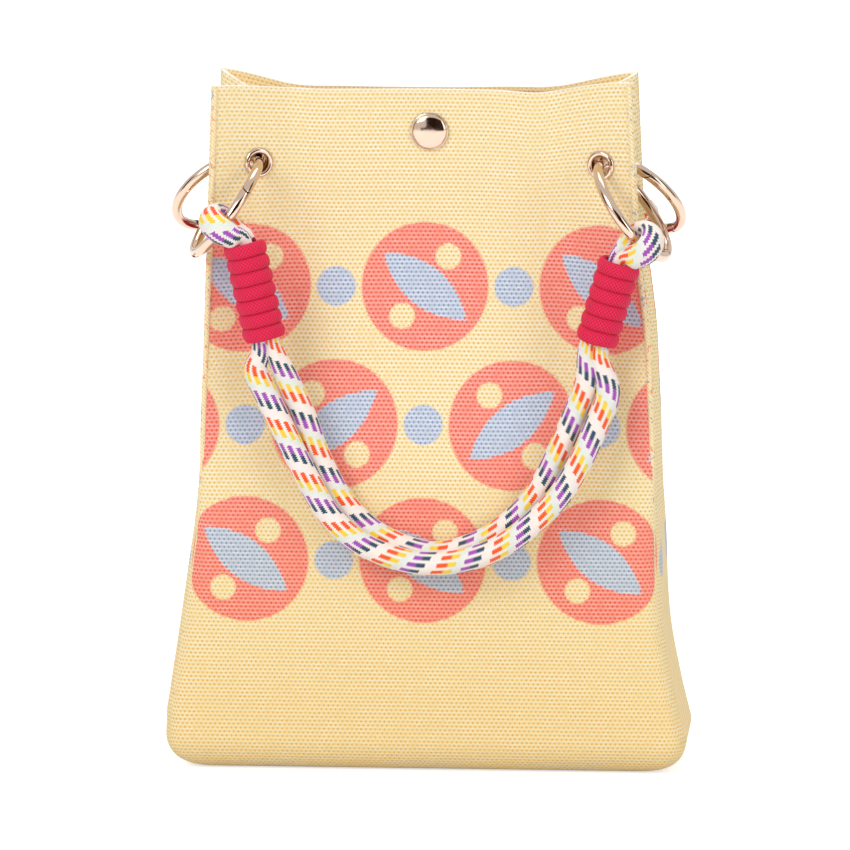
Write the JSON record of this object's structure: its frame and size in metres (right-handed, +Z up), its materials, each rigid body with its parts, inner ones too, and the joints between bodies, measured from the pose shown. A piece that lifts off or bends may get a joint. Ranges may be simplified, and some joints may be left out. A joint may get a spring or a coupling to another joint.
{
  "type": "knitted handbag",
  "caption": "Small knitted handbag with pleated sides, eyelets with spring-gate rings, doubled rope handles bound with cord, and a press snap at the mouth.",
  "frame": {"origin": "middle of the underside of the base", "axes": "+X to the bag's right in the picture, -Y out of the front panel, +Z up"},
  "size_m": [0.2152, 0.0997, 0.286],
  "materials": {
    "knit": "double-knit jacquard of matte yarn, pale yellow with coral and pale blue areas",
    "pale_gold": "zinc alloy plated pale gold, mirror polished",
    "steel": "plain steel wire",
    "rope": "braided soft rope, cream with orange, yellow, purple and navy dashes",
    "whipping_cord": "braided crimson cord, satin sheen"
  },
  "bodies": {
    "bag": {"back_panel": "knit", "base_panel": "knit", "left_gusset_back": "knit", "right_gusset_back": "knit", "rear_left_eyelet": "pale_gold", "rear_left_washer": "pale_gold", "rear_right_eyelet": "pale_gold", "rear_right_washer": "pale_gold", "snap_stud": "pale_gold", "snap_rivet": "pale_gold"},
    "bag_front": {"front_panel": "knit", "left_gusset_front": "knit", "right_gusset_front": "knit", "front_left_eyelet": "pale_gold", "front_left_washer": "pale_gold", "front_right_eyelet": "pale_gold", "front_right_washer": "pale_gold", "snap_cap": "pale_gold", "snap_socket": "pale_gold"},
    "front_left_ring": {"front_left_ring": "pale_gold", "front_left_ring_pin": "steel", "front_left_ring_spring": "steel"},
    "front_left_gate": {"front_left_ring_gate": "pale_gold"},
    "front_right_ring": {"front_right_ring": "pale_gold", "front_right_ring_pin": "steel", "front_right_ring_spring": "steel"},
    "front_right_gate": {"front_right_ring_gate": "pale_gold"},
    "rear_left_ring": {"rear_left_ring": "pale_gold", "rear_left_ring_pin": "steel", "rear_left_ring_spring": "steel"},
    "rear_left_gate": {"rear_left_ring_gate": "pale_gold"},
    "rear_right_ring": {"rear_right_ring": "pale_gold", "rear_right_ring_pin": "steel", "rear_right_ring_spring": "steel"},
    "rear_right_gate": {"rear_right_ring_gate": "pale_gold"},
    "front_handle": {"front_handle": "rope", "front_handle_whipping_left": "whipping_cord", "front_handle_whipping_right": "whipping_cord"},
    "rear_handle": {"rear_handle": "rope", "rear_handle_whipping_left": "whipping_cord", "rear_handle_whipping_right": "whipping_cord"}
  },
  "joints": [
    {"name": "mouth_open", "type": "hinge", "parent": "bag", "child": "bag_front", "pos_m": [0, -0.0295, 0.0153], "axis": [1, 0, 0], "range_deg": [0, 10]},
    {"name": "front_left_ring_swing", "type": "hinge", "parent": "bag_front", "child": "front_left_ring", "pos_m": [-0.0695, -0.0093, 0.256], "axis": [-0.4226, 0.9063, 0], "range_deg": [0, 90.53]},
    {"name": "front_left_gate_open", "type": "hinge", "parent": "front_left_ring", "child": "front_left_gate", "pos_m": [-0.09285, -0.02531, 0.22057], "axis": [-0.7959, -0.1417, 0.5887], "range_deg": [0, 11], "stiffness_Nm_per_rad": 0.05, "springref_deg": -11.46},
    {"name": "front_right_ring_swing", "type": "hinge", "parent": "bag_front", "child": "front_right_ring", "pos_m": [0.0745, -0.01163, 0.256], "axis": [-0.4226, -0.9063, 0], "range_deg": [0, 96.41]},
    {"name": "front_right_gate_open", "type": "hinge", "parent": "front_right_ring", "child": "front_right_gate", "pos_m": [0.10035, -0.01857, 0.21939], "axis": [0.7959, -0.1417, 0.5887], "range_deg": [0, 11], "stiffness_Nm_per_rad": 0.05, "springref_deg": -11.46},
    {"name": "rear_left_ring_swing", "type": "hinge", "parent": "bag", "child": "rear_left_ring", "pos_m": [-0.071, 0.01, 0.256], "axis": [0.4226, 0.9063, 0], "range_deg": [0, 112.81]},
    {"name": "rear_left_gate_open", "type": "hinge", "parent": "rear_left_ring", "child": "rear_left_gate", "pos_m": [-0.0971, 0.02717, 0.22313], "axis": [0.4893, -0.5508, -0.6762], "range_deg": [0, 11], "stiffness_Nm_per_rad": 0.05, "springref_deg": -11.46},
    {"name": "rear_right_ring_swing", "type": "hinge", "parent": "bag", "child": "rear_right_ring", "pos_m": [0.071, 0.01, 0.256], "axis": [0.4226, -0.9063, 0], "range_deg": [0, 104.65]},
    {"name": "rear_right_gate_open", "type": "hinge", "parent": "rear_right_ring", "child": "rear_right_gate", "pos_m": [0.10271, 0.01978, 0.22509], "axis": [-0.4893, -0.5508, -0.6762], "range_deg": [0, 11], "stiffness_Nm_per_rad": 0.05, "springref_deg": -11.46},
    {"name": "handles_lift", "type": "hinge", "parent": "bag_front", "child": "front_handle", "pos_m": [0, -0.0373, 0.256], "axis": [-1, 0, 0], "range_deg": [0, 180], "deforming": ["front_handle"]},
    {"name": "rear_handle_lift", "type": "hinge", "parent": "bag", "child": "rear_handle", "pos_m": [0, 0.0351, 0.256], "axis": [1, 0, 0], "range_deg": [0, 180], "deforming": ["rear_handle"]}
  ],
  "couplings": [
    {"joint": "front_left_ring_swing", "follows": "handles_lift", "ratio": 0.50017},
    {"joint": "front_right_ring_swing", "follows": "handles_lift", "ratio": 0.53283},
    {"joint": "rear_left_ring_swing", "follows": "handles_lift", "ratio": 0.62394},
    {"joint": "rear_right_ring_swing", "follows": "handles_lift", "ratio": 0.57861},
    {"joint": "rear_handle_lift", "follows": "handles_lift", "ratio": 1}
  ]
}
